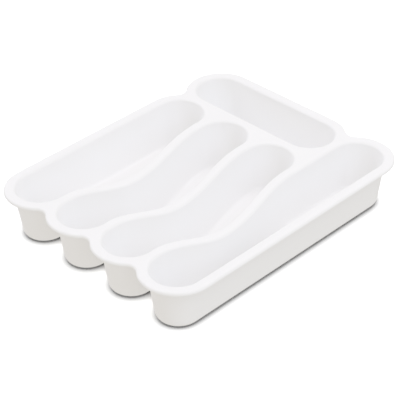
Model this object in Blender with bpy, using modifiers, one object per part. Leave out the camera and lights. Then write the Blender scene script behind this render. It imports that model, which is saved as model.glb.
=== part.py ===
"""Five-compartment drawer organizer insert: a thin-walled moulded tray on elastomer feet.

Metres, +Z up, +Y towards the back of the drawer. The origin is under the middle of the tray, on the
surface that its feet stand on.
"""

import math

import bmesh
import bpy

# Plan of the compartments
LANE_WIDTH = 0.064
LANE_COUNT = 4
SHORT_LANE_LENGTH = 0.2705
CROSS_WIDTH = 0.064
DIVIDER_WIDTH = 0.0056
RIM_BORDER = 0.0096
NOTCH_RADIUS = 0.012

# Wave of the dividers, measured back from the middle of the lanes' round front ends
WAVE_DEPTH = 0.0254
WAVE_LEAD = 0.007
WAVE_RISE = 0.067
WAVE_CREST = 0.001
WAVE_TAIL = 0.001

# Section of the moulding
TRAY_HEIGHT = 0.0576
WALL = 0.0024
DRAFT = math.radians(7)
MOUTH_RADIUS = 0.0034
FLOOR_RADIUS = 0.004
EDGE_RADIUS = 0.0028
LIP_DROP = 0.0036

# Feet
FOOT_RADIUS = 0.0065
FOOT_STAND = 0.001
FOOT_EDGE = 0.0003
SEAT_DEPTH = 0.0006
SEAT_CLEARANCE = 0.0003

# Facets
END_STEPS = 10
SIDE_STEPS = 20
NOTCH_STEPS = 4
MOUTH_STEPS = 3
FLOOR_STEPS = 3
FOOT_SIDES = 20

LANE_PITCH = LANE_WIDTH + DIVIDER_WIDTH
LONG_LANE_LENGTH = SHORT_LANE_LENGTH + DIVIDER_WIDTH + CROSS_WIDTH
FRONT = -LONG_LANE_LENGTH / 2
BACK = LONG_LANE_LENGTH / 2
SHORT_BACK = FRONT + SHORT_LANE_LENGTH
LANE_RADIUS = LANE_WIDTH / 2
CROSS_RADIUS = CROSS_WIDTH / 2
LANE_X = [(k - (LANE_COUNT - 1) / 2) * LANE_PITCH for k in range(LANE_COUNT)]
CROSS_LEFT = LANE_X[0] - LANE_RADIUS
CROSS_RIGHT = LANE_X[-1] - LANE_RADIUS - DIVIDER_WIDTH
UNDERSIDE = FOOT_STAND
FLOOR = UNDERSIDE + WALL
RIM = UNDERSIDE + TRAY_HEIGHT


def smooth_step(t):
    """Half a cosine wave from 0 to 1."""
    return 0.5 - 0.5 * math.cos(math.pi * min(max(t, 0), 1))


def wave(y):
    """How far a divider stands over to the right at y, and its slope there."""
    start = FRONT + LANE_RADIUS + WAVE_LEAD
    crest = start + WAVE_RISE
    fall = crest + WAVE_CREST
    end = SHORT_BACK - LANE_RADIUS - WAVE_TAIL

    def height(at):
        if at < fall:
            return WAVE_DEPTH * smooth_step((at - start) / WAVE_RISE)
        return WAVE_DEPTH * (1 - smooth_step((at - fall) / (end - fall)))

    step = 1e-5
    return height(y), (height(y + step) - height(y - step)) / (2 * step)


def arc(centre, radius, first, last, steps):
    """Points round an arc from one angle to another, both ends included."""
    turns = [first + (last - first) * i / steps for i in range(steps + 1)]
    return [(centre[0] + radius * math.cos(a), centre[1] + radius * math.sin(a)) for a in turns]


def side(x, y_from, y_to, waved, inset):
    """Points along one side of a lane, set in from the rim and without its two ends.

    A side that runs towards +Y is the right one, and its inset goes to the left. A straight side needs
    no points between its ends.
    """
    points = []
    for i in range(1, SIDE_STEPS if waved else 1):
        y = y_from + (y_to - y_from) * i / SIDE_STEPS
        shift, slope = wave(y)
        inward = math.copysign(inset, y_from - y_to) / math.hypot(1, slope)
        points.append((x + shift + inward, y - slope * inward))
    return points


def lane_loop(k, inset):
    """A lane's outline, anticlockwise from its right side: round ends and waved dividers."""
    radius = LANE_RADIUS - inset
    front = FRONT + LANE_RADIUS
    last = k == LANE_COUNT - 1
    back = (BACK if last else SHORT_BACK) - LANE_RADIUS
    x = LANE_X[k]
    return (
        side(x + LANE_RADIUS, front, back, not last, inset)
        + arc((x, back), radius, 0, math.pi, END_STEPS)
        + side(x - LANE_RADIUS, back, front, k > 0, inset)
        + arc((x, front), radius, math.pi, 2 * math.pi, END_STEPS)
    )


def cross_loop(inset):
    """The cross compartment's outline: straight sides and round ends."""
    radius = CROSS_RADIUS - inset
    y = BACK - CROSS_RADIUS
    right = arc((CROSS_RIGHT - CROSS_RADIUS, y), radius, -math.pi / 2, math.pi / 2, END_STEPS)
    left = arc((CROSS_LEFT + CROSS_RADIUS, y), radius, math.pi / 2, 3 * math.pi / 2, END_STEPS)
    return right + left


def lobes():
    """The round ends that the rim follows, anticlockwise: centre, radius, and if a notch comes next."""
    front = FRONT + LANE_RADIUS
    row = [((x, front), LANE_RADIUS, True) for x in LANE_X]
    row[-1] = (row[-1][0], LANE_RADIUS, False)
    cross_y = BACK - CROSS_RADIUS
    return row + [
        ((LANE_X[-1], BACK - LANE_RADIUS), LANE_RADIUS, True),
        ((CROSS_RIGHT - CROSS_RADIUS, cross_y), CROSS_RADIUS, False),
        ((CROSS_LEFT + CROSS_RADIUS, cross_y), CROSS_RADIUS, True),
        ((LANE_X[0], SHORT_BACK - LANE_RADIUS), LANE_RADIUS, False),
    ]


def rim_loop(inset):
    """The tray's outer outline: an arc round each lobe, joined by straight sides or rounded notches."""
    grow = RIM_BORDER - inset
    notch = NOTCH_RADIUS + inset
    ends = lobes()
    joints = []
    for i, (a, radius_a, notched) in enumerate(ends):
        b, radius_b, _ = ends[(i + 1) % len(ends)]
        gap = math.dist(a, b)
        along = ((b[0] - a[0]) / gap, (b[1] - a[1]) / gap)
        out = (along[1], -along[0])
        if not notched:
            angle = math.atan2(out[1], out[0])
            joints.append((angle, angle, []))
            continue
        reach_a = radius_a + grow + notch
        reach_b = radius_b + grow + notch
        foot = (gap**2 + reach_a**2 - reach_b**2) / (2 * gap)
        rise = math.sqrt(reach_a**2 - foot**2)
        hub = (a[0] + along[0] * foot + out[0] * rise, a[1] + along[1] * foot + out[1] * rise)
        leave = math.atan2(hub[1] - a[1], hub[0] - a[0])
        enter = math.atan2(hub[1] - b[1], hub[0] - b[0])
        first = leave + math.pi
        sweep = (enter - leave + math.pi) % (2 * math.pi) - math.pi
        joints.append((leave, enter, arc(hub, notch, first, first + sweep, NOTCH_STEPS)[1:-1]))
    loop = []
    for i, (centre, radius, _) in enumerate(ends):
        first = joints[i - 1][1]
        leave, _, notch_points = joints[i]
        last = first + (leave - first) % (2 * math.pi)
        loop += arc(centre, radius + grow, first, last, END_STEPS) + notch_points
    return loop


def mouth_to_floor():
    """The wall's section as pairs of inset and height: mouth radius, drafted wall, floor radius."""
    steep = math.pi / 2 - DRAFT
    section = []
    for i in range(MOUTH_STEPS + 1):
        a = steep * i / MOUTH_STEPS
        section.append((MOUTH_RADIUS * math.sin(a), RIM - MOUTH_RADIUS * (1 - math.cos(a))))
    top_inset, top = section[-1]
    fillet_top = FLOOR + FLOOR_RADIUS * (1 - math.cos(steep))
    hub = top_inset + (top - fillet_top) * math.tan(DRAFT) + FLOOR_RADIUS * math.sin(steep)
    for i in range(FLOOR_STEPS + 1):
        a = steep * (1 - i / FLOOR_STEPS)
        section.append((hub - FLOOR_RADIUS * math.sin(a), FLOOR + FLOOR_RADIUS * (1 - math.cos(a))))
    return section


def rim_to_lip():
    """The outer edge's section as pairs of inset and height: edge radius, then the lip's straight drop."""
    section = []
    for i in range(MOUTH_STEPS + 1):
        a = math.pi / 2 * i / MOUTH_STEPS
        section.append((EDGE_RADIUS * (1 - math.sin(a)), RIM - EDGE_RADIUS * (1 - math.cos(a))))
    return section + [(0, RIM - LIP_DROP)]


def loft(bm, loop_at, section):
    """Skins the loops that a section's insets give, and returns the first and the last loop."""
    rings = [[bm.verts.new((x, y, z)) for x, y in loop_at(inset)] for inset, z in section]
    for upper, lower in zip(rings, rings[1:]):
        for i in range(len(upper)):
            bm.faces.new((upper[i - 1], upper[i], lower[i], lower[i - 1]))
    return rings[0], rings[-1]


def ring_edges(bm, ring):
    """The edges of a loop, found or made."""
    edges = []
    for i in range(len(ring)):
        ends = (ring[i - 1], ring[i])
        edges.append(bm.edges.get(ends) or bm.edges.new(ends))
    return edges


def plastic(name, colour, roughness):
    """A Principled material of one colour."""
    material = bpy.data.materials.new(name)
    material.use_nodes = True
    shader = material.node_tree.nodes["Principled BSDF"]
    shader.inputs["Base Color"].default_value = (*colour, 1)
    shader.inputs["Roughness"].default_value = roughness
    shader.inputs["Metallic"].default_value = 0
    return material


def new_object(name, bm, collection, material=None):
    """Puts a bmesh into a new object."""
    mesh = bpy.data.meshes.new(name)
    bm.to_mesh(mesh)
    bm.free()
    mesh.shade_smooth()
    mesh.set_sharp_from_angle(angle=math.radians(35))
    obj = bpy.data.objects.new(name, mesh)
    collection.objects.link(obj)
    if material:
        mesh.materials.append(material)
    return obj


def disc(radius, bottom, top, edge=0):
    """A round disc, with a chamfer on its lower edge if it has one."""
    bm = bmesh.new()
    bmesh.ops.create_cone(
        bm, cap_ends=True, segments=FOOT_SIDES, radius1=radius, radius2=radius, depth=top - bottom
    )
    bmesh.ops.translate(bm, verts=bm.verts, vec=(0, 0, (top + bottom) / 2))
    if edge:
        middle = (top + bottom) / 2
        rim = [e for e in bm.edges if all(v.co.z < middle for v in e.verts)]
        bmesh.ops.bevel(bm, geom=rim, offset=edge, segments=1, affect="EDGES", profile=0.5)
    return bm


def make_tray(collection, material):
    """The moulded tray: one skin over rim, wells and lip, thickened downwards to the wall's thickness."""
    bm = bmesh.new()
    well_loops = [lambda inset, k=k: lane_loop(k, inset) for k in range(LANE_COUNT)] + [cross_loop]
    deck = []
    for loop_at in well_loops:
        mouth, floor = loft(bm, loop_at, mouth_to_floor())
        bm.faces.new(floor)
        deck += ring_edges(bm, mouth)
    inner, _ = loft(bm, rim_loop, rim_to_lip())
    deck += ring_edges(bm, inner)
    top = bmesh.ops.triangle_fill(bm, edges=deck, use_beauty=True, normal=(0, 0, 1))
    flat = [f for f in top["geom"] if isinstance(f, bmesh.types.BMFace)]
    bmesh.ops.recalc_face_normals(bm, faces=bm.faces)
    if flat[0].normal.z < 0:
        bmesh.ops.reverse_faces(bm, faces=bm.faces)
    tray = new_object("tray", bm, collection, material)
    shell = tray.modifiers.new("wall", "SOLIDIFY")
    shell.thickness = WALL
    shell.offset = -1
    shell.use_even_offset = True
    shell.use_quality_normals = True
    return tray


def foot_places():
    """A foot under each of the seven lobes of the outline."""
    front = ["foot_front_left", "foot_front_mid_left", "foot_front_mid_right", "foot_front_right"]
    back = ["foot_back_right", "foot_back_middle", "foot_back_left"]
    return list(zip(front + back, [centre for centre, _, _ in lobes()]))


def main():
    for obj in list(bpy.data.objects):
        bpy.data.objects.remove(obj, do_unlink=True)
    parts = bpy.data.collections.new("drawer_organizer_insert")
    cutters = bpy.data.collections.new("cutters")
    for collection in (parts, cutters):
        bpy.context.scene.collection.children.link(collection)

    tray = make_tray(parts, plastic("white_polypropylene", (0.86, 0.86, 0.85), 0.35))
    elastomer = plastic("grey_elastomer", (0.45, 0.45, 0.44), 0.75)
    seat = UNDERSIDE + SEAT_DEPTH
    for name, (x, y) in foot_places():
        cutter = new_object(name + "_seat", disc(FOOT_RADIUS + SEAT_CLEARANCE, 0, seat), cutters)
        cutter.location = (x, y, 0)
        cutter.hide_render = True
        cutter.display_type = "WIRE"
        cut = tray.modifiers.new(name, "BOOLEAN")
        cut.operation = "DIFFERENCE"
        cut.object = cutter
        foot = new_object(name, disc(FOOT_RADIUS, 0, seat - SEAT_CLEARANCE, FOOT_EDGE), parts, elastomer)
        foot.location = (x, y, 0)


main()
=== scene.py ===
"""Looks of a five-compartment drawer organizer insert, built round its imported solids.

The tray is one moulded skin: four fore-and-aft lanes with waved dividers, a cross compartment behind
three of them, a flat rim with a rounded lip, and the hollow underside between the wells. Metres, +Z up.
"""

import logging
import math
from collections.abc import Callable
from dataclasses import dataclass, field
from enum import Enum

import bmesh
import bpy
import numpy as np
from mathutils import Matrix, Vector

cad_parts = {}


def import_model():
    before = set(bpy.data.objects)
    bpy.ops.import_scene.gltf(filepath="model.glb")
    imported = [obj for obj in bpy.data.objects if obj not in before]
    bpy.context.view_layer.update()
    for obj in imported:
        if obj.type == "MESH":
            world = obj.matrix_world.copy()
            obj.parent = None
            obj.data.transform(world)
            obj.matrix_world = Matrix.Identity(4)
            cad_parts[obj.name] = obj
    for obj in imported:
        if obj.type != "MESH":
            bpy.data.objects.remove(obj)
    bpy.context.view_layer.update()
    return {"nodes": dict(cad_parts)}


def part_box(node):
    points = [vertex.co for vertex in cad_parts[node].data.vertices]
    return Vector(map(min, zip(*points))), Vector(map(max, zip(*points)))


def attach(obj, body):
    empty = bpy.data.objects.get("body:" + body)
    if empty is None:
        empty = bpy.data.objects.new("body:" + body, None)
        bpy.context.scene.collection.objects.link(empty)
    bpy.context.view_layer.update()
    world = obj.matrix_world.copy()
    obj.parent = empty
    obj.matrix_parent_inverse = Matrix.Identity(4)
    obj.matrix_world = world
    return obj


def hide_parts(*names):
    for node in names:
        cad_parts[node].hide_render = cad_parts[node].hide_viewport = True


LOG = logging.getLogger("drawer_organizer_insert")
BODY = "root"
MM = 0.001
WELD = 1e-6
SEAT_CLEARANCE = 0.3 * MM
Grid = np.ndarray
Outline = Callable[[Grid], Grid]


class Finish(Enum):
    """The record's material slot names for the tray and the feet; this script doesn't give them to the
    pieces.
    """

    TRAY = "tray_plastic"
    FOOT = "foot_elastomer"


@dataclass(frozen=True)
class Resolution:
    """How finely the surfaces are cut."""

    end: int = 40
    side: int = 88
    notch: int = 18
    bend: int = 9
    wall: int = 5
    foot: int = 48


@dataclass(frozen=True)
class Section:
    """Wall section of the moulding, as in the solids."""

    rim: float
    underside: float
    wall: float = 2.4 * MM
    draft: float = math.radians(7)
    mouth_radius: float = 3.4 * MM
    floor_radius: float = 4.0 * MM
    edge_radius: float = 2.8 * MM
    lip_drop: float = 3.6 * MM
    lip_round: float = 0.5 * MM
    margin: float = 0.25 * MM

    @property
    def steep(self) -> float:
        """Angle that the mouth's bend turns through before the drafted wall starts."""
        return math.pi / 2 - self.draft

    @property
    def floor(self) -> float:
        """Height of the compartments' floors."""
        return self.underside + self.wall

    def hub_inset(self) -> float:
        """Inset of the centre of the bend between wall and floor.

        Returns:
            The distance from the rim's edge of the well, where the flat floor starts.
        """
        turn = 1 - math.cos(self.steep)
        top = self.rim - self.mouth_radius * turn
        bottom = self.floor + self.floor_radius * turn
        run = self.mouth_radius + self.floor_radius
        return run * math.sin(self.steep) + (top - bottom) * math.tan(self.draft)

    def well(self, res: Resolution, below: float) -> Grid:
        """Section of a well from the deck to its floor, offset outwards by a distance.

        The bends are arcs about two fixed centres and the wall is the straight line between them, so an
        offset only takes from the mouth's radius and adds to the floor's.

        Args:
            res: how finely the bends are cut.
            below: 0 for the skin that shows, or the wall's thickness for the underside.

        Returns:
            Pairs of inset and height, from the deck down and in to the floor.
        """
        mouth = self.mouth_radius - below
        bend = self.floor_radius + below
        down = np.linspace(0, self.steep, res.bend)
        hub = self.hub_inset()
        top = np.stack([mouth * np.sin(down), self.rim - self.mouth_radius + mouth * np.cos(down)], -1)
        up = down[::-1]
        low = np.stack([hub - bend * np.sin(up), self.floor + self.floor_radius - bend * np.cos(up)], -1)
        t = np.linspace(0, 1, res.wall + 1)[1:-1, None]
        wall = top[-1] * (1 - t) + low[0] * t
        flat_in = low[-1:] + [[self.margin, 0]]
        flat_out = top[:1] - [[self.margin, 0]]
        return np.concatenate([flat_out, top, wall, low, flat_in])

    def lip(self, res: Resolution) -> Grid:
        """Section of the outer edge: over the rim, down the lip, round its foot and back under the deck.

        Args:
            res: how finely the bends are cut.

        Returns:
            Pairs of inset and height, from the deck's top to its underside.
        """
        a = np.linspace(0, math.pi / 2, res.bend)
        edge, inner = self.edge_radius, self.edge_radius - self.wall
        centre_z = self.rim - edge
        over = np.stack([edge * (1 - np.sin(a)), centre_z + edge * np.cos(a)], -1)
        foot_z = self.rim - self.lip_drop
        r = self.lip_round
        toe = np.stack([r * (1 - np.cos(a)), foot_z + r * (1 - np.sin(a))], -1)
        heel = np.stack([self.wall - r * (1 - np.sin(a)), foot_z + r * (1 - np.cos(a))], -1)
        under = np.stack([edge - inner * np.cos(a), centre_z + inner * np.sin(a)], -1)
        start = over[:1] + [[self.margin, 0]]
        end = under[-1:] + [[self.margin, 0]]
        return np.concatenate([start, over, toe, heel, under, end])


def arc(centre: tuple[float, float], radius: Grid, angles: Grid) -> Grid:
    """Arcs of several radii about one centre.

    Args:
        centre: the common centre in plan.
        radius: one radius for each ring.
        angles: the angles of the points, shared by all rings.

    Returns:
        Plan points, rings by angles by 2.
    """
    ring = np.stack([np.cos(angles), np.sin(angles)], -1)
    return np.asarray(centre) + radius[:, None, None] * ring[None]


@dataclass(frozen=True)
class Lobe:
    """A round end of the outline: its centre in plan, and if a notch follows it anticlockwise."""

    centre: tuple[float, float]
    notched: bool


@dataclass(frozen=True)
class TrayPlan:
    """Plan of the wells and the rim. Every loop is anticlockwise and takes its inset as an array."""

    lane_x: tuple[float, ...]
    front: float
    back: float
    short_back: float
    cross_right: float
    lane_radius: float
    res: Resolution
    rim_border: float = 9.6 * MM
    notch_radius: float = 12.0 * MM
    wave_depth: float = 25.4 * MM
    wave_lead: float = 7.0 * MM
    wave_rise: float = 67.0 * MM
    wave_crest: float = 1.0 * MM
    wave_tail: float = 1.0 * MM

    @classmethod
    def from_frame(cls, res: Resolution) -> "TrayPlan":
        """Reads the round ends' centres off the feet under them, and the radius off the tray's box.

        Args:
            res: how finely loops are cut.

        Returns:
            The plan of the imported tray.
        """
        front_row = ("foot_front_left", "foot_front_mid_left", "foot_front_mid_right", "foot_front_right")
        fronts = [foot_centre(name) for name in front_row]
        lane_x = tuple(float(c[0]) for c in fronts)
        back = float(foot_centre("foot_back_right")[1])
        pitch = (lane_x[-1] - lane_x[0]) / (len(lane_x) - 1)
        low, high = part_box("tray")
        radius = (high[0] - low[0] - (lane_x[-1] - lane_x[0])) / 2 - cls.rim_border
        return cls(
            lane_x=lane_x,
            front=float(fronts[0][1]),
            back=back,
            short_back=back - pitch,
            cross_right=float(foot_centre("foot_back_middle")[0]),
            lane_radius=float(radius),
            res=res,
        )

    def wave(self, y: Grid) -> tuple[Grid, Grid]:
        """How far a divider stands over to the right, and its slope.

        The shift is half a cosine up, a short crest and a longer half cosine down.

        Args:
            y: places along the lanes.

        Returns:
            The shift and its derivative by y.
        """
        start = self.front + self.wave_lead
        fall = start + self.wave_rise + self.wave_crest
        length = self.short_back - self.wave_tail - fall
        up = np.clip((y - start) / self.wave_rise, 0, 1) * math.pi
        down = np.clip((y - fall) / length, 0, 1) * math.pi
        shift = self.wave_depth / 2 * (np.cos(down) - np.cos(up))
        slope = self.wave_depth / 2 * math.pi * (np.sin(up) / self.wave_rise - np.sin(down) / length)
        return shift, slope

    def side(self, x: float, y: Grid, waved: bool, inset: Grid) -> Grid:
        """One long side of a lane, moved in along its own normals.

        Args:
            x: the side's place where it isn't waved.
            y: places along it, in the loop's direction.
            waved: if it follows the dividers' wave.
            inset: how far each ring is moved in.

        Returns:
            Plan points without the side's two ends, rings by points by 2.
        """
        y = y[1:-1]
        shift, slope = self.wave(y) if waved else (np.zeros_like(y), np.zeros_like(y))
        left = math.copysign(1, y[0] - y[-1])
        inward = left * inset[:, None] / np.hypot(1, slope)[None]
        return np.stack([x + shift[None] + inward, y[None] - slope[None] * inward], -1)

    def lane(self, k: int, inset: Grid) -> Grid:
        """Outline of a lane: two round ends joined by straight or waved sides.

        Args:
            k: the lane, from the left.
            inset: how far each ring is moved in.

        Returns:
            Plan points, rings by points by 2.
        """
        last = k == len(self.lane_x) - 1
        back = self.back if last else self.short_back
        x, r = self.lane_x[k], self.lane_radius
        turn = np.linspace(0, math.pi, self.res.end + 1)
        along = np.linspace(self.front, back, self.res.side + 1)
        return np.concatenate(
            [
                self.side(x + r, along, not last, inset),
                arc((x, back), r - inset, turn),
                self.side(x - r, along[::-1], k > 0, inset),
                arc((x, self.front), r - inset, turn + math.pi),
            ],
            axis=1,
        )

    def cross(self, inset: Grid) -> Grid:
        """Outline of the cross compartment: a slot with two round ends.

        Args:
            inset: how far each ring is moved in.

        Returns:
            Plan points, rings by points by 2.
        """
        turn = np.linspace(-math.pi / 2, math.pi / 2, self.res.end + 1)
        right, left = (self.cross_right, self.back), (self.lane_x[0], self.back)
        t = np.linspace(0, 1, self.res.side + 1)[1:-1]
        over = np.asarray(right) * (1 - t[:, None]) + np.asarray(left) * t[:, None]
        up = np.stack([np.zeros_like(inset), self.lane_radius - inset], -1)[:, None]
        return np.concatenate(
            [
                arc(right, self.lane_radius - inset, turn),
                over[None] + up,
                arc(left, self.lane_radius - inset, turn + math.pi),
                over[None, ::-1] - up,
            ],
            axis=1,
        )

    def lobes(self) -> list[Lobe]:
        """Lists the round ends that the rim follows.

        Returns:
            The lobes, anticlockwise from the front left.
        """
        front = [Lobe((x, self.front), x != self.lane_x[-1]) for x in self.lane_x]
        return front + [
            Lobe((self.lane_x[-1], self.back), True),
            Lobe((self.cross_right, self.back), False),
            Lobe((self.lane_x[0], self.back), True),
            Lobe((self.lane_x[0], self.short_back), False),
        ]

    def rim(self, inset: Grid) -> Grid:
        """The tray's outline: an arc round each lobe, with straight runs and rounded notches between.

        A notch's arc touches both lobes from outside, so its centre is at the same distance from both.

        Args:
            inset: how far each ring is moved in.

        Returns:
            Plan points, rings by points by 2.
        """
        lobes = self.lobes()
        reach = self.lane_radius + self.rim_border + self.notch_radius
        leave, enter, notches = [], [], []
        for a, b in zip(lobes, lobes[1:] + lobes[:1]):
            step = np.subtract(b.centre, a.centre)
            gap = float(np.hypot(*step))
            out = np.array([step[1], -step[0]]) / gap
            hub = np.asarray(a.centre) + step / 2 + out * math.sqrt(max(reach**2 - gap**2 / 4, 0))
            if a.notched:
                first = math.atan2(*(hub - a.centre)[::-1])
                last = math.atan2(*(hub - b.centre)[::-1])
                sweep = (last - first + math.pi) % (2 * math.pi) - math.pi
                turn = first + math.pi + np.linspace(0, sweep, self.res.notch + 1)[1:-1]
                notches.append(arc(tuple(hub), self.notch_radius + inset, turn))
            else:
                first = last = math.atan2(out[1], out[0])
                t = np.linspace(0, 1, self.res.side + 1)[1:-1]
                run = np.asarray(a.centre) + t[:, None] * step
                grow = self.lane_radius + self.rim_border - inset
                notches.append(run[None] + grow[:, None, None] * out)
            leave.append(first)
            enter.append(last)
        rings = []
        for i, lobe in enumerate(lobes):
            sweep = (leave[i] - enter[i - 1]) % (2 * math.pi)
            turn = enter[i - 1] + np.linspace(0, sweep, self.res.end + 1)
            rings += [arc(lobe.centre, self.lane_radius + self.rim_border - inset, turn), notches[i]]
        return np.concatenate(rings, axis=1)


def foot_centre(name: str) -> Grid:
    """Middle of a foot's box in plan."""
    low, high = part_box(name)
    return (np.asarray(low)[:2] + np.asarray(high)[:2]) / 2


@dataclass
class Skin:
    """Patches of a surface, gathered as arrays and welded into one mesh."""

    points: list[Grid] = field(default_factory=list)
    faces: list[Grid] = field(default_factory=list)
    count: int = 0

    def add(self, points: Grid, faces: Grid) -> None:
        """Adds a patch.

        Args:
            points: its points, n by 3.
            faces: its corners, as triangles or quads of its own point numbers.
        """
        self.points.append(points)
        self.faces.append(faces + self.count)
        self.count += len(points)

    def add_rings(self, rings: Grid) -> None:
        """Adds closed rings of points as a band of quads, each ring joined to the next.

        Args:
            rings: rings by points by 3.
        """
        n_ring, n = rings.shape[:2]
        i = np.arange(n_ring - 1)[:, None] * n
        j = np.arange(n)[None]
        nxt = (j + 1) % n
        quads = np.stack([i + j, i + nxt, i + n + nxt, i + n + j], -1).reshape(-1, 4)
        self.add(rings.reshape(-1, 3), quads)

    def add_flat(self, loops: list[Grid]) -> None:
        """Fills the flat area between closed loops: the first is its edge and the others are holes.

        Args:
            loops: loops of points, n by 3, all at one height.
        """
        starts = np.cumsum([0] + [len(loop) for loop in loops])
        own = [np.arange(len(loop)) for loop in loops]
        edges = [np.stack([n, np.roll(n, -1)], -1) + start for n, start in zip(own, starts)]
        mesh = bpy.data.meshes.new("flat")
        mesh.from_pydata(np.concatenate(loops).tolist(), np.concatenate(edges).tolist(), [])
        bm = bmesh.new()
        bm.from_mesh(mesh)
        bmesh.ops.triangle_fill(bm, edges=bm.edges, use_beauty=True, normal=(0, 0, 1))
        bm.to_mesh(mesh)
        bm.free()
        points = np.empty(3 * len(mesh.vertices), np.float32)
        mesh.vertices.foreach_get("co", points)
        corners = np.empty(len(mesh.loops), np.int32)
        mesh.loops.foreach_get("vertex_index", corners)
        bpy.data.meshes.remove(mesh)
        self.add(points.reshape(-1, 3), corners.reshape(-1, 3))

    def to_object(self, name: str) -> bpy.types.Object:
        """Welds the patches into one closed mesh with its faces outwards.

        Args:
            name: the piece's name.

        Returns:
            The new object, at the origin.
        """
        mesh = bpy.data.meshes.new(name)
        faces = [row for block in self.faces for row in block.tolist()]
        mesh.from_pydata(np.concatenate(self.points).tolist(), [], faces)
        bm = bmesh.new()
        bm.from_mesh(mesh)
        bmesh.ops.remove_doubles(bm, verts=bm.verts, dist=WELD)
        bmesh.ops.recalc_face_normals(bm, faces=bm.faces)
        bm.to_mesh(mesh)
        bm.free()
        mesh.shade_smooth()
        obj = bpy.data.objects.new(name, mesh)
        bpy.context.scene.collection.objects.link(obj)
        return obj


def lift(plan: Grid, heights: Grid) -> Grid:
    """Puts rings of plan points at their heights.

    Args:
        plan: rings by points by 2.
        heights: one height for each ring.

    Returns:
        Rings by points by 3.
    """
    z = np.broadcast_to(heights[:, None, None], (*plan.shape[:2], 1))
    return np.concatenate([plan, z], -1)


@dataclass(frozen=True)
class MouldedPlastic:
    """Satin white polypropylene: a faint fine grain and a slow change of gloss and tone."""

    colour: tuple[float, float, float] = (0.94, 0.94, 0.94)
    roughness: tuple[float, float] = (0.42, 0.52)
    grain_size: float = 0.45 * MM
    grain_depth: float = 0.02 * MM
    grain_strength: float = 0.35
    cloud_size: float = 45.0 * MM
    cloud_range: tuple[float, float] = (0.3, 0.7)
    cloud_shade: float = 0.985
    ior: float = 1.49
    specular: float = 0.4

    def material(self) -> bpy.types.Material:
        """Builds the node material.

        Returns:
            A material on Object coordinates.
        """
        mat = bpy.data.materials.new("satin_white_plastic")
        mat.use_nodes = True
        nodes, links = mat.node_tree.nodes, mat.node_tree.links
        shader = nodes["Principled BSDF"]
        shader.inputs["IOR"].default_value = self.ior
        shader.inputs["Specular IOR Level"].default_value = self.specular
        place = nodes.new("ShaderNodeTexCoord")
        grain = nodes.new("ShaderNodeTexNoise")
        grain.inputs["Scale"].default_value = 1 / self.grain_size
        grain.inputs["Detail"].default_value = 3
        clouds = nodes.new("ShaderNodeTexNoise")
        clouds.inputs["Scale"].default_value = 1 / self.cloud_size
        clouds.inputs["Detail"].default_value = 4
        for noise in (grain, clouds):
            links.new(place.outputs["Object"], noise.inputs["Vector"])
        gloss = nodes.new("ShaderNodeMapRange")
        gloss.inputs["From Min"].default_value, gloss.inputs["From Max"].default_value = self.cloud_range
        gloss.inputs["To Min"].default_value, gloss.inputs["To Max"].default_value = self.roughness
        links.new(clouds.outputs["Fac"], gloss.inputs["Value"])
        links.new(gloss.outputs["Result"], shader.inputs["Roughness"])
        tone = nodes.new("ShaderNodeMix")
        tone.data_type = "RGBA"
        tone.inputs["A"].default_value = (*[c * self.cloud_shade for c in self.colour], 1)
        tone.inputs["B"].default_value = (*self.colour, 1)
        links.new(clouds.outputs["Fac"], tone.inputs["Factor"])
        links.new(tone.outputs["Result"], shader.inputs["Base Color"])
        bump = nodes.new("ShaderNodeBump")
        bump.inputs["Strength"].default_value = self.grain_strength
        bump.inputs["Distance"].default_value = self.grain_depth
        links.new(grain.outputs["Fac"], bump.inputs["Height"])
        links.new(bump.outputs["Normal"], shader.inputs["Normal"])
        return mat


@dataclass(frozen=True)
class Elastomer:
    """Matt grey elastomer with a fine pebbled grain."""

    colour: tuple[float, float, float] = (0.42, 0.42, 0.41)
    roughness: float = 0.8
    grain_size: float = 0.6 * MM
    grain_depth: float = 0.05 * MM
    grain_strength: float = 0.4
    grain_shade: float = 0.8

    def material(self) -> bpy.types.Material:
        """Builds the node material.

        Returns:
            A material on Object coordinates.
        """
        mat = bpy.data.materials.new("matt_grey_elastomer")
        mat.use_nodes = True
        nodes, links = mat.node_tree.nodes, mat.node_tree.links
        shader = nodes["Principled BSDF"]
        shader.inputs["Roughness"].default_value = self.roughness
        place = nodes.new("ShaderNodeTexCoord")
        grain = nodes.new("ShaderNodeTexVoronoi")
        grain.inputs["Scale"].default_value = 1 / self.grain_size
        links.new(place.outputs["Object"], grain.inputs["Vector"])
        tone = nodes.new("ShaderNodeMix")
        tone.data_type = "RGBA"
        tone.inputs["A"].default_value = (*self.colour, 1)
        tone.inputs["B"].default_value = (*[c * self.grain_shade for c in self.colour], 1)
        links.new(grain.outputs["Distance"], tone.inputs["Factor"])
        links.new(tone.outputs["Result"], shader.inputs["Base Color"])
        bump = nodes.new("ShaderNodeBump")
        bump.inputs["Strength"].default_value = self.grain_strength
        bump.inputs["Distance"].default_value = self.grain_depth
        links.new(grain.outputs["Distance"], bump.inputs["Height"])
        links.new(bump.outputs["Normal"], shader.inputs["Normal"])
        return mat


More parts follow.
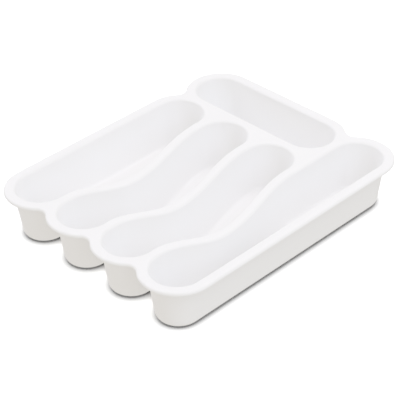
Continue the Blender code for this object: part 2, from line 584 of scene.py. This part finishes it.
@dataclass
class MouldedTray:
    """The tray: wells, deck, lip and hollow underside as one closed skin of even thickness."""

    plan: TrayPlan
    section: Section
    seats: dict[str, Grid]
    seat_radius: float
    seat_top: float

    def wells(self) -> list[Outline]:
        """The five outlines, each a function of its inset."""
        lanes = [lambda inset, k=k: self.plan.lane(k, inset) for k in range(len(self.plan.lane_x))]
        return lanes + [self.plan.cross]

    def seat_ring(self, centre: Grid, height: float) -> Grid:
        """A circle round a foot's seat.

        Args:
            centre: the seat's middle in plan.
            height: the circle's height.

        Returns:
            One ring of points, n by 3.
        """
        turn = np.linspace(0, 2 * math.pi, self.plan.res.foot, endpoint=False)
        ring = arc(tuple(centre), np.array([self.seat_radius]), turn)
        return lift(ring, np.array([height]))[0]

    def build(self) -> bpy.types.Object:
        """Builds the tray's mesh.

        Each well is its outline carried down its wall's section, twice: once as the skin that shows and
        once offset by the wall's thickness. The deck and the floors are the flats between the loops.

        Returns:
            The tray, at the origin.
        """
        skin = Skin()
        res, wall = self.plan.res, self.section.wall
        lip = self.section.lip(res)
        edge = lift(self.plan.rim(lip[:, 0]), lip[:, 1])
        skin.add_rings(edge)
        deck, under = [edge[0]], [edge[-1]]
        for outline in self.wells():
            for loops, offset in ((deck, 0.0), (under, wall)):
                cut = self.section.well(res, offset)
                rings = lift(outline(cut[:, 0]), cut[:, 1])
                skin.add_rings(rings)
                loops.append(rings[0])
                holes = []
                if offset:
                    middle, reach = rings[-1][:, :2].mean(0), np.ptp(rings[-1][:, :2], axis=0) / 2
                    inside = [c for c in self.seats.values() if (abs(c - middle) < reach + WELD).all()]
                    for centre in inside:
                        mouth = self.seat_ring(centre, self.section.underside)
                        top = self.seat_ring(centre, self.seat_top)
                        skin.add_rings(np.stack([mouth, top]))
                        skin.add_flat([top])
                        holes.append(mouth)
                skin.add_flat([rings[-1], *holes])
        skin.add_flat(deck)
        skin.add_flat(under)
        return skin.to_object("moulded_tray")

    def dress(self, material: bpy.types.Material) -> None:
        """Builds the tray and puts it on the frame in place of its solid."""
        put_on_frame(self.build(), "tray", material)


@dataclass
class FootPad:
    """A round elastomer foot: a flat disc with rounded edges, turned about its own axis."""

    node: str
    res: Resolution
    round_edge: float = 0.3 * MM
    edge_steps: int = 5
    flat_share: float = 0.55

    def build(self) -> bpy.types.Object:
        """Turns the pad's profile about the middle of its box.

        Returns:
            The pad, at the origin with its place in its mesh.
        """
        low, high = (np.asarray(c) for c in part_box(self.node))
        radius = (high[0] - low[0]) / 2
        a = np.linspace(0, math.pi / 2, self.edge_steps)
        r = self.round_edge
        lower = np.stack([radius - r + r * np.sin(a), low[2] + r - r * np.cos(a)], -1)
        upper = np.stack([radius - r + r * np.cos(a), high[2] - r + r * np.sin(a)], -1)
        inner = radius * self.flat_share
        profile = np.concatenate([[[inner, low[2]]], lower, upper, [[inner, high[2]]]])
        turn = np.linspace(0, 2 * math.pi, self.res.foot, endpoint=False)
        rings = lift(arc(tuple(foot_centre(self.node)), profile[:, 0], turn), profile[:, 1])
        skin = Skin()
        skin.add_rings(rings)
        skin.add_flat([rings[0]])
        skin.add_flat([rings[-1]])
        return skin.to_object(self.node.replace("foot", "pad"))

    def dress(self, material: bpy.types.Material) -> None:
        """Builds the pad and puts it on the frame in place of its solid."""
        put_on_frame(self.build(), self.node, material)


@dataclass(frozen=True)
class Softbox:
    """A square soft light that faces the tray: where it hangs, its side, its watts and its tint."""

    name: str
    place: tuple[float, float, float]
    size: float
    power: float
    colour: tuple[float, float, float] = (1, 1, 1)

    def hang(self) -> bpy.types.Object:
        """Makes the light.

        Returns:
            The light, turned towards the origin.
        """
        data = bpy.data.lights.new(self.name, "AREA")
        data.shape = "SQUARE"
        data.size, data.energy, data.color = self.size, self.power, self.colour
        light = bpy.data.objects.new(self.name, data)
        light.location = self.place
        light.rotation_euler = (-Vector(self.place)).to_track_quat("-Z", "Y").to_euler()
        bpy.context.scene.collection.objects.link(light)
        return light


@dataclass(frozen=True)
class Studio:
    """Pale floor, soft light and the camera at the photograph's angle."""

    azimuth: float = 45.697
    elevation: float = 35.044
    roll: float = -1.354
    distance: float = 1.55536
    focal_px: float = 1470.67
    frame_px: float = 400.0
    target: tuple[float, float, float] = (0.03781, -0.03977, 0.0586)
    floor_colour: tuple[float, float, float] = (0.93, 0.93, 0.93)
    floor_size: float = 6.0
    sky: tuple[float, float, float] = (0.363, 0.356, 0.292)
    bounce: tuple[float, float, float] = (0.575, 0.54, 0.50)
    softboxes: tuple[Softbox, ...] = (
        Softbox("right_softbox", (1.7, -0.2, 1.3), 1.2, 9.6, (0.735, 0.815, 1)),
        Softbox("front_softbox", (0.3, -1.7, 1.3), 1.2, 3.9, (1, 0.86, 0.88)),
        Softbox("left_softbox", (-1.7, -0.3, 1.3), 1.2, 15.9, (0.81, 0.81, 1)),
        Softbox("high_right_softbox", (1.0, 0.0, 1.8), 0.8, 7.4, (0.915, 0.875, 1)),
        Softbox("high_back_softbox", (0.0, 1.0, 1.8), 0.8, 8.5, (0.96, 0.91, 1)),
    )
    floor_lamps: tuple[Softbox, ...] = (
        Softbox("floor_lamp_near", (1.383, -1.349, 1.74), 0.4, 85),
        Softbox("floor_lamp_right", (1.349, 1.383, 1.74), 0.8, 26),
        Softbox("floor_lamp_far", (-1.383, 1.349, 1.74), 0.8, 26),
        Softbox("floor_lamp_left", (-1.349, -1.383, 1.74), 0.8, 26),
    )
    floor_roughness: float = 0.9
    floor_specular: float = 0.1
    # Painted shade in the floor's colour near the tray: how far the occlusion term reaches, the range it
    # is mapped over, and the darkest painted tone.
    painted_shade_reach: float = 10.0 * MM
    painted_shade_range: tuple[float, float] = (0.38, 1.0)
    painted_shade_tone: float = 0.03
    horizon: float = 0.15
    clip: tuple[float, float] = (0.05, 50)
    print_gamma: float = 2.0

    def place_camera(self) -> None:
        """Sets the camera on a sphere round the target, turned a little about its own axis."""
        az, el, roll = (math.radians(v) for v in (self.azimuth, self.elevation, self.roll))
        back = Vector((math.sin(az) * math.cos(el), -math.cos(az) * math.cos(el), math.sin(el)))
        right = Vector((math.cos(az), math.sin(az), 0))
        up = back.cross(right)
        x = right * math.cos(roll) + up * math.sin(roll)
        y = up * math.cos(roll) - right * math.sin(roll)
        turn = Matrix((x, y, back)).transposed().to_4x4()
        data = bpy.data.cameras.new("photo_camera")
        data.sensor_fit = "HORIZONTAL"
        data.angle = 2 * math.atan(self.frame_px / 2 / self.focal_px)
        data.clip_start, data.clip_end = self.clip
        camera = bpy.data.objects.new("photo_camera", data)
        camera.matrix_world = Matrix.Translation(Vector(self.target) + back * self.distance) @ turn
        bpy.context.scene.collection.objects.link(camera)
        bpy.context.scene.camera = camera

    def lay_floor(self) -> bpy.types.Object:
        """Makes the pale floor, with painted shade: an occlusion term darkens its colour in a thin line
        where the tray stands close over it.

        Returns:
            The floor.
        """
        h = self.floor_size / 2
        mesh = bpy.data.meshes.new("studio_floor")
        mesh.from_pydata([(-h, -h, 0), (h, -h, 0), (h, h, 0), (-h, h, 0)], [], [(0, 1, 2, 3)])
        mat = bpy.data.materials.new("pale_paper_with_painted_shade")
        mat.use_nodes = True
        nodes, links = mat.node_tree.nodes, mat.node_tree.links
        shader = nodes["Principled BSDF"]
        shader.inputs["Roughness"].default_value = self.floor_roughness
        shader.inputs["Specular IOR Level"].default_value = self.floor_specular
        # Painted shade: ambient occlusion darkens the floor's base colour under and beside the tray's
        # bottom edges, standing in for the contact shadow.
        painted_shade_ao = nodes.new("ShaderNodeAmbientOcclusion")
        painted_shade_ao.inputs["Distance"].default_value = self.painted_shade_reach
        open_share = nodes.new("ShaderNodeMapRange")
        least, most = self.painted_shade_range
        open_share.inputs["From Min"].default_value = least
        open_share.inputs["From Max"].default_value = most
        links.new(painted_shade_ao.outputs["AO"], open_share.inputs["Value"])
        tone = nodes.new("ShaderNodeMix")
        tone.data_type = "RGBA"
        tone.inputs["A"].default_value = (*[c * self.painted_shade_tone for c in self.floor_colour], 1)
        tone.inputs["B"].default_value = (*self.floor_colour, 1)
        links.new(open_share.outputs["Result"], tone.inputs["Factor"])
        links.new(tone.outputs["Result"], shader.inputs["Base Color"])
        mesh.materials.append(mat)
        floor = bpy.data.objects.new("studio_floor", mesh)
        bpy.context.scene.collection.objects.link(floor)
        return floor

    def light(self, floor: bpy.types.Object) -> None:
        """Lights the tray from sky, bounce and softboxes, and the floor with lamps of its own.

        Args:
            floor: the only thing that the floor lamps reach.
        """
        world = bpy.data.worlds.new("studio")
        world.use_nodes = True
        nodes, links = world.node_tree.nodes, world.node_tree.links
        place = nodes.new("ShaderNodeTexCoord")
        split = nodes.new("ShaderNodeSeparateXYZ")
        links.new(place.outputs["Generated"], split.inputs["Vector"])
        height = nodes.new("ShaderNodeMapRange")
        height.inputs["From Min"].default_value = -self.horizon
        height.inputs["From Max"].default_value = self.horizon
        links.new(split.outputs["Z"], height.inputs["Value"])
        blend = nodes.new("ShaderNodeMix")
        blend.data_type = "RGBA"
        blend.inputs["A"].default_value = (*self.bounce, 1)
        blend.inputs["B"].default_value = (*self.sky, 1)
        links.new(height.outputs["Result"], blend.inputs["Factor"])
        links.new(blend.outputs["Result"], nodes["Background"].inputs["Color"])
        bpy.context.scene.world = world
        for softbox in self.softboxes:
            softbox.hang()
        only_floor = bpy.data.collections.new("floor_lamp_reaches")
        only_floor.objects.link(floor)
        for softbox in self.floor_lamps:
            softbox.hang().light_linking.receiver_collection = only_floor
        # The world's lower half stands for light off the floor, so the floor itself mustn't block it.
        floor.visible_diffuse = floor.visible_glossy = floor.visible_shadow = False
        settings = bpy.context.scene.view_settings
        settings.view_transform = "Standard"
        settings.gamma = self.print_gamma


def put_on_frame(
    piece: bpy.types.Object, node: str, material: bpy.types.Material
) -> None:
    """Puts a finished piece on the frame in place of its solid.

    Args:
        piece: the new piece.
        node: the solid that it stands for.
        material: what it is made of.
    """
    piece.data.materials.append(material)
    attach(piece, BODY)
    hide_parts(node)
    LOG.info("%s stands for %s: %d faces", piece.name, node, len(piece.data.polygons))


def main() -> None:
    """Builds the tray, its feet and the studio."""
    logging.basicConfig(level=logging.INFO, format="%(name)s: %(message)s")
    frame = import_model()
    res = Resolution()
    tray_low, tray_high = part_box("tray")
    section = Section(rim=float(tray_high[2]), underside=float(tray_low[2]))
    feet = [name for name in frame["nodes"] if name.startswith("foot_")]
    seats = {name: foot_centre(name) for name in feet}
    low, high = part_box(feet[0])
    tray = MouldedTray(
        plan=TrayPlan.from_frame(res),
        section=section,
        seats=seats,
        seat_radius=float(high[0] - low[0]) / 2 + SEAT_CLEARANCE,
        seat_top=float(high[2]) + SEAT_CLEARANCE,
    )
    tray.dress(MouldedPlastic().material())
    rubber = Elastomer().material()
    for name in feet:
        FootPad(name, res).dress(rubber)
    studio = Studio()
    studio.light(studio.lay_floor())
    studio.place_camera()


if __name__ == "__main__":
    main()
